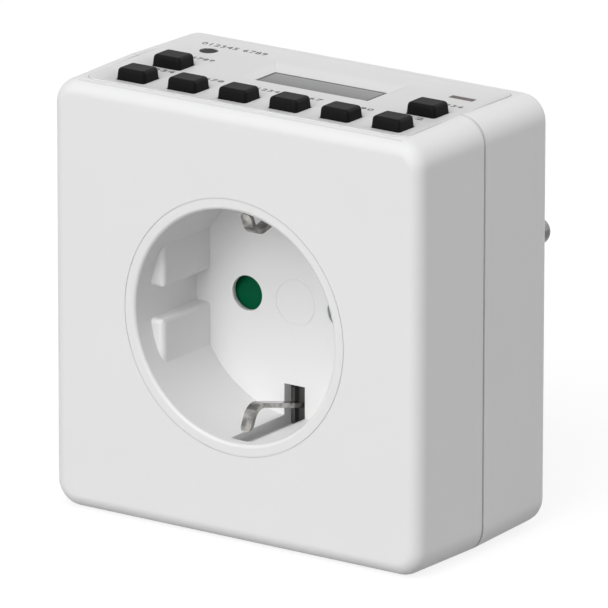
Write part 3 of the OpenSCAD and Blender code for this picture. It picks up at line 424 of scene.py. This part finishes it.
def mesh_of(bm, name, *finishes):
    mesh = bpy.data.meshes.new(name)
    bm.to_mesh(mesh)
    bm.free()
    for finish in finishes:
        mesh.materials.append(finish)
    return mesh


def box(low, high):
    """Box between two places in mm."""
    bm = bmesh.new()
    bmesh.ops.create_cube(bm, size=1.0)
    a, b = at(*low), at(*high)
    for v in bm.verts:
        v.co = Vector([(a[i] + b[i]) / 2 + v.co[i] * (b[i] - a[i]) for i in range(3)])
    return bm


def join(bm, loop, next_loop):
    """Faces between two closed loops of vertices."""
    for i in range(len(loop)):
        j = (i + 1) % len(loop)
        bm.faces.new((loop[i], loop[j], next_loop[j], next_loop[i]))


def ring(radii, levels, steps, point):
    """Ring of square section: point(radius, level, turn) says where a vertex is."""
    bm = bmesh.new()
    turns = [2 * math.pi * i / steps for i in range(steps)]
    (inner, outer), (first, last) = radii, levels
    corners = ((inner, first), (outer, first), (outer, last), (inner, last))
    loops = [[bm.verts.new(point(radius, level, turn)) for turn in turns] for radius, level in corners]
    for i, loop in enumerate(loops):
        join(bm, loop, loops[(i + 1) % len(loops)])
    bmesh.ops.recalc_face_normals(bm, faces=bm.faces)
    return bm


ROUND = 0.5  # a bevel's profile that is an arc


def roll(bm, edges, size, steps):
    """Rounds edges by a size in mm."""
    bmesh.ops.bevel(bm, geom=edges, offset=size * MM, segments=steps, profile=ROUND, affect="EDGES")


def smooth(bm):
    for f in bm.faces:
        f.smooth = True


# The panel's field climbs to the rear, where its border is only a low bead. Field: depth and height in mm
BORDER_TOP = box_mm("control_panel")[1][2]
BORDER_DROP = 0.15
FIELD_FRONT = (30.0, 36.08)
FIELD_REAR = (34.6, 36.42)
FIELD_LOWEST = 35.9


def climb(depth):
    return min(1.0, max(0.0, (depth - FIELD_FRONT[0]) / (FIELD_REAR[0] - FIELD_FRONT[0])))


def field_z(depth):
    return FIELD_FRONT[1] + climb(depth) * (FIELD_REAR[1] - FIELD_FRONT[1])


def border_z(depth):
    return BORDER_TOP - climb(depth) * BORDER_DROP


def panel_face():
    """Control panel with the rear of its field raised and its border lowered."""
    bm = bmesh.new()
    bm.from_mesh(NODES["control_panel"].data)
    bmesh.ops.remove_doubles(bm, verts=bm.verts, dist=MERGE)
    everything = bm.verts[:] + bm.edges[:] + bm.faces[:]
    bmesh.ops.bisect_plane(bm, geom=everything, plane_co=at(0, FIELD_FRONT[0], 0), plane_no=(0, 1, 0))
    for v in bm.verts:
        z = v.co.z / MM
        if z > FIELD_LOWEST:
            depth = v.co.y / MM + PLUG_FACE
            share = (border_z(depth) - field_z(depth)) / (BORDER_TOP - FIELD_FRONT[1])
            v.co.z = (border_z(depth) - (BORDER_TOP - z) * share) * MM
    piece = add_piece("panel_face", mesh_of(bm, "panel_face"), "panel_plastic", "control_panel")
    dress(piece, PANEL, EDGE["control_panel"])


panel_face()

# Display: a face that closes the window's opening, with a thin dark mask round it that is partly its real
# border and partly a painted shadow of the window's edge, in mm
DISPLAY_GAP = 0.05
DISPLAY_TOP = 35.03
DISPLAY_UNDER = 33.6
MASK_W = 0.6


def display_face():
    low = [value + DISPLAY_GAP for value in WINDOW_LOW] + [DISPLAY_UNDER]
    high = [value - DISPLAY_GAP for value in WINDOW_HIGH] + [DISPLAY_TOP]
    bm = box(low, high)
    bm.normal_update()
    face = max(bm.faces, key=lambda f: f.normal.z)
    bmesh.ops.inset_region(bm, faces=[face], thickness=MASK_W * MM)
    for f in bm.faces:
        f.material_index = 0 if f == face else 1
    add_piece("display_face", mesh_of(bm, "display_face", DISPLAY, MASK_AND_SHADOW), "display_glass", "lcd_window")


display_face()

# Rubber key caps, in mm: upright sides that roll softly into the top
CAP_W = 5.7
CAP_D = 4.7
CAP_TAPER = 0.16
CAP_CORNER = 0.72
CAP_CORNER_STEPS = 5
CAP_ROLL = 0.60
CAP_ROLL_STEPS = 6
CAP_FOOT = 33.0
LEVEL = 0.01  # heights that differ by less count as the same


def key_cap(node):
    low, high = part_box(node)
    middle = (low + high) / 2
    top = high.z
    bm = bmesh.new()
    loops = []
    for z, inset in ((CAP_FOOT * MM, 0.0), (FIELD_FRONT[1] * MM, 0.0), (top, CAP_TAPER * MM)):
        half = (CAP_W / 2 * MM - inset, CAP_D / 2 * MM - inset)
        loops.append([
            bm.verts.new((middle.x + sx * half[0], middle.y + sy * half[1], z)) for sx, sy in CORNERS
        ])
    bm.faces.new(reversed(loops[0]))
    bm.faces.new(loops[2])
    for loop, next_loop in zip(loops, loops[1:]):
        join(bm, loop, next_loop)
    upright = [e for e in bm.edges if abs(e.verts[0].co.z - e.verts[1].co.z) > LEVEL * MM]
    roll(bm, upright, CAP_CORNER, CAP_CORNER_STEPS)
    rim = [e for e in bm.edges if all(abs(v.co.z - top) < LEVEL * MM for v in e.verts)]
    roll(bm, rim, CAP_ROLL, CAP_ROLL_STEPS)
    smooth(bm)
    piece = new_object("cap_" + node, mesh_of(bm, "cap_" + node, KEY))
    piece.modifiers.new("even", "WEIGHTED_NORMAL")
    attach(piece, node)
    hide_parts(node)


for node_name in list(NODES):
    if "_key_" in node_name:
        key_cap(node_name)

# Reset button, in mm: a black cap that fills its hole, flush with the field, and a thin black ring round it
# on the field
RESET_AT = [(low + high) / 2 for low, high in zip(*box_mm("reset_button"))]
RESET_R = 1.38
RESET_TOP = 36.06
RESET_FOOT = 33.0
RESET_DOME = 0.10
RESET_DOME_STEPS = 3
RESET_STEPS = 48
BEZEL_R = (1.37, 1.58)
BEZEL_Z = (36.11, 36.085)


def reset_cap():
    bm = bmesh.new()
    radius, height = RESET_R * MM, (RESET_TOP - RESET_FOOT) * MM
    bmesh.ops.create_cone(
        bm, cap_ends=True, segments=RESET_STEPS, radius1=radius, radius2=radius, depth=height
    )
    roll(bm, [e for e in bm.edges if all(v.co.z > 0 for v in e.verts)], RESET_DOME, RESET_DOME_STEPS)
    middle = at(RESET_AT[0], RESET_AT[1], (RESET_TOP + RESET_FOOT) / 2)
    bmesh.ops.translate(bm, verts=bm.verts, vec=middle)
    smooth(bm)
    piece = new_object("reset_cap", mesh_of(bm, "reset_cap", BLACK))
    piece.modifiers.new("even", "WEIGHTED_NORMAL")
    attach(piece, "reset")
    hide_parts("reset_button")


def on_bezel(radius, z, turn):
    return at(RESET_AT[0] + radius * math.cos(turn), RESET_AT[1] + radius * math.sin(turn), z)


reset_cap()
bezel = mesh_of(ring(BEZEL_R, BEZEL_Z, RESET_STEPS, on_bezel), "reset_bezel", BLACK)
add_piece("reset_bezel", bezel, "black_plastic")


def slab(name, low, high, finish, edge, slot_name):
    """Box with rounded edges between two places in mm."""
    dress(add_piece(name, mesh_of(box(low, high), name), slot_name), finish, edge)


# Thin flange of the indicator's lens, in mm: how far it reaches past the light pipe, and where it lies
FLANGE_X = 0.05
FLANGE_D = 0.22
FLANGE_Z = (36.085, 36.12)
FLANGE_EDGE = 0.015


def lamp_flange():
    low, high = box_mm("light_pipe")
    slab("lamp_flange", (low[0] - FLANGE_X, low[1] - FLANGE_D, FLANGE_Z[0]),
         (high[0] + FLANGE_X, high[1] + FLANGE_D, FLANGE_Z[1]), LAMP, FLANGE_EDGE, "red_lens")


lamp_flange()

# Floor of the groove between the socket insert's rim and the housing, in mm
GROOVE_R = (21.56, 21.86)
GROOVE_DEPTH = (0.20, 1.6)
GROOVE_EDGE = 0.02
GROOVE_STEPS = 180


def round_socket(radius, depth, turn):
    return at(radius * math.cos(turn), depth, radius * math.sin(turn))


groove = mesh_of(ring(GROOVE_R, GROOVE_DEPTH, GROOVE_STEPS, round_socket), "rim_groove")
dress(add_piece("rim_groove", groove, "white_plastic"), SHELL, GROOVE_EDGE)

# Metal behind the slots of the earth clips, in mm: a plate, and a cheek on either side of the clip
ROOT_HALF = 3.2
ROOT_DEPTH = (20.72, 20.89)
ROOT_Z = (15.3, 21.4)
ROOT_EDGE = 0.05
CHEEK_X = (1.35, 2.6)
CHEEK_DEPTH = 19.55
for where, up in (("lower", -1), ("upper", 1)):
    z_low, z_high = sorted(up * z for z in ROOT_Z)
    slab(where + "_slot_root", (-ROOT_HALF, ROOT_DEPTH[0], z_low), (ROOT_HALF, ROOT_DEPTH[1], z_high),
         ROOT_METAL, ROOT_EDGE, "nickel_contact")
    for side, s in (("left", -1), ("right", 1)):
        x_low, x_high = sorted(s * x for x in CHEEK_X)
        slab(where + "_slot_cheek_" + side, (x_low, CHEEK_DEPTH, z_low), (x_high, ROOT_DEPTH[0], z_high),
             ROOT_METAL, ROOT_EDGE, "nickel_contact")

# Printed numbers: text, centre (x, depth) and width in mm
LEGENDS = {
    "legend_1": ("1234", -25.2, 15.1, 5.0),
    "legend_2": ("5678", -15.1, 15.1, 5.0),
    "legend_3": ("901234", -5.0, 15.1, 7.0),
    "legend_4": ("567", 5.0, 15.1, 3.8),
    "legend_5": ("890", 15.1, 15.1, 4.0),
    "legend_6": ("12", 25.2, 15.1, 2.8),
    "legend_7": ("3456789", -25.2, 24.6, 8.0),
    "legend_8": ("01234", 25.2, 24.6, 5.8),
    "legend_9": ("012345 6789", -22.8, 32.9, 13.0),
}

# Digits: height in mm, its share of the font's size, spacing, steps of their curves, and thickness of the
# print in mm
DIGIT_H = 1.1
DIGIT_SHARE = 0.70
DIGIT_SPACING = 1.12
DIGIT_STEPS = 2
INK_H = 0.03

# Half the depth in mm over which the field's slope is taken
SLOPE_HALF = 0.5

# How far a point 1 mm above the field's front plane seems shifted in the camera's view, in mm
SHIFT_X = 1.89
SHIFT_DEPTH = 2.73


def legend(name, text, x, depth, width):
    """Thin print that lies on the field."""
    curve = bpy.data.curves.new(name, "FONT")
    curve.body = text
    curve.align_x = "CENTER"
    curve.align_y = "CENTER"
    curve.size = DIGIT_H / DIGIT_SHARE * MM
    curve.space_character = DIGIT_SPACING
    curve.extrude = INK_H / 2 * MM
    curve.resolution_u = DIGIT_STEPS
    holder = new_object(name, curve)
    bpy.context.view_layer.update()
    stretch = width * MM / holder.dimensions.x
    mesh = bpy.data.meshes.new_from_object(holder.evaluated_get(bpy.context.evaluated_depsgraph_get()))
    bpy.data.objects.remove(holder)
    rise = math.atan2(field_z(depth + SLOPE_HALF) - field_z(depth - SLOPE_HALF), 2 * SLOPE_HALF)
    lift = field_z(depth) - FIELD_FRONT[1]
    middle = at(x + SHIFT_X * lift, depth - SHIFT_DEPTH * lift, 0)
    middle.z = (field_z(depth - SHIFT_DEPTH * lift) + INK_H / 2) * MM
    turned = Matrix.Translation(middle) @ Matrix.Rotation(rise, 4, "X")
    mesh.transform(turned @ Matrix.Diagonal((stretch, 1, 1, 1)))
    mesh.materials.clear()
    mesh.materials.append(INK)
    mesh.name = name
    add_piece(name, mesh, "black_plastic")


for legend_name, legend_row in LEGENDS.items():
    legend(legend_name, *legend_row)

# ------------------------------------------------------------------ studio

# Soft lights: direction towards the light, irradiance as a share of white, angular size in degrees
LIGHTS = {
    "front": ((0, -1, 0.15), 0.585, 50.0),
    "front_left": ((-0.7, -0.7, 0.15), 0.045, 50.0),
    "front_above": ((0, -0.6, 0.8), 0.49, 50.0),
    "rear_above": ((0, 0.79, 0.62), 0.135, 50.0),
    "rear_right": ((0.7, 0.6, 0.4), 0.255, 60.0),
    "right": ((1, -0.1, 0.15), 0.085, 60.0),
}


def sun(name, towards, share, spread):
    data = bpy.data.lights.new(name, "SUN")
    data.energy = share * math.pi
    data.angle = math.radians(spread)
    lamp = new_object(name, data)
    lamp.rotation_mode = "QUATERNION"
    lamp.rotation_quaternion = Vector(towards).to_track_quat("Z", "Y")


for light_name, light_row in LIGHTS.items():
    sun(light_name, *light_row)

# Surroundings: the light they give and how bright they look; the floor's reflectance towards the object, its
# reflectance and glow where it is seen itself, and half its width in m
AMBIENT = 0.15
BACKDROP = 1.0
FLOOR_BOUNCE = 0.28
FLOOR_SHADOW = 0.22
FLOOR_GLOW = 0.84
FLOOR_HALF = 4.0


def seen_directly(tree):
    """1 for camera, glossy and transmission rays."""
    rays = tree.nodes.new("ShaderNodeLightPath").outputs
    seen = calc(tree, "MAXIMUM", rays["Is Camera Ray"], rays["Is Glossy Ray"])
    return calc(tree, "MAXIMUM", seen, rays["Is Transmission Ray"])


def show(tree, unseen, seen, output):
    """Output with one shader for the light it gives to others, and another for how it looks itself."""
    mix = tree.nodes.new("ShaderNodeMixShader")
    end = tree.nodes.new(output)
    tree.links.new(seen_directly(tree), mix.inputs["Fac"])
    tree.links.new(unseen, mix.inputs[1])
    tree.links.new(seen, mix.inputs[2])
    tree.links.new(mix.outputs[0], end.inputs["Surface"])


def background(tree, strength):
    node = tree.nodes.new("ShaderNodeBackground")
    node.inputs["Color"].default_value = (1, 1, 1, 1)
    node.inputs["Strength"].default_value = strength
    return node.outputs[0]


def diffuse(tree, grey):
    node = tree.nodes.new("ShaderNodeBsdfDiffuse")
    node.inputs["Color"].default_value = (grey, grey, grey, 1)
    return node.outputs[0]


world = bpy.data.worlds.new("studio")
bpy.context.scene.world = world
world.use_nodes = True
sky = world.node_tree
sky.nodes.clear()
show(sky, background(sky, AMBIENT), background(sky, BACKDROP), "ShaderNodeOutputWorld")


def floor_material():
    m = bpy.data.materials.new("studio_floor")
    m.use_nodes = True
    tree = m.node_tree
    tree.nodes.clear()
    glow = tree.nodes.new("ShaderNodeEmission")
    glow.inputs["Strength"].default_value = FLOOR_GLOW
    add = tree.nodes.new("ShaderNodeAddShader")
    tree.links.new(diffuse(tree, FLOOR_SHADOW), add.inputs[0])
    tree.links.new(glow.outputs[0], add.inputs[1])
    show(tree, diffuse(tree, FLOOR_BOUNCE), add.outputs[0], "ShaderNodeOutputMaterial")
    return m


floor_mesh = bpy.data.meshes.new("floor")
floor_corners = [(sx * FLOOR_HALF, sy * FLOOR_HALF, cad_box[0].z) for sx, sy in CORNERS]
floor_mesh.from_pydata(floor_corners, [], [(0, 1, 2, 3)])
floor_mesh.materials.append(floor_material())
floor = new_object("floor", floor_mesh)

# ------------------------------------------------------------------ camera

# Focal length in pixels of an image this wide, the sensor's width in mm, and the camera's place in m
IMAGE_PX = 608
FOCAL_PX = 10734.35
SENSOR_MM = 36.0
CAMERA_AT = (0.960119, -1.425353, 0.508286)
CLIP_NEAR = 0.1
CLIP_FAR = 20.0
AZIMUTH = math.radians(34.673)
ELEVATION = math.radians(16.789)
ROLL = math.radians(0.081)

camera_data = bpy.data.cameras.new("camera")
camera = new_object("camera", camera_data)
bpy.context.scene.camera = camera
camera_data.sensor_width = SENSOR_MM
camera_data.lens = FOCAL_PX / IMAGE_PX * SENSOR_MM
camera_data.clip_start = CLIP_NEAR
camera_data.clip_end = CLIP_FAR
forward = Vector((
    -math.sin(AZIMUTH) * math.cos(ELEVATION),
    math.cos(AZIMUTH) * math.cos(ELEVATION),
    -math.sin(ELEVATION),
))
roll_turn = Matrix.Rotation(ROLL, 4, "Z").to_quaternion()
camera.rotation_mode = "QUATERNION"
camera.rotation_quaternion = forward.to_track_quat("-Z", "Y") @ roll_turn
camera.location = CAMERA_AT

bpy.context.scene.view_settings.view_transform = "Standard"
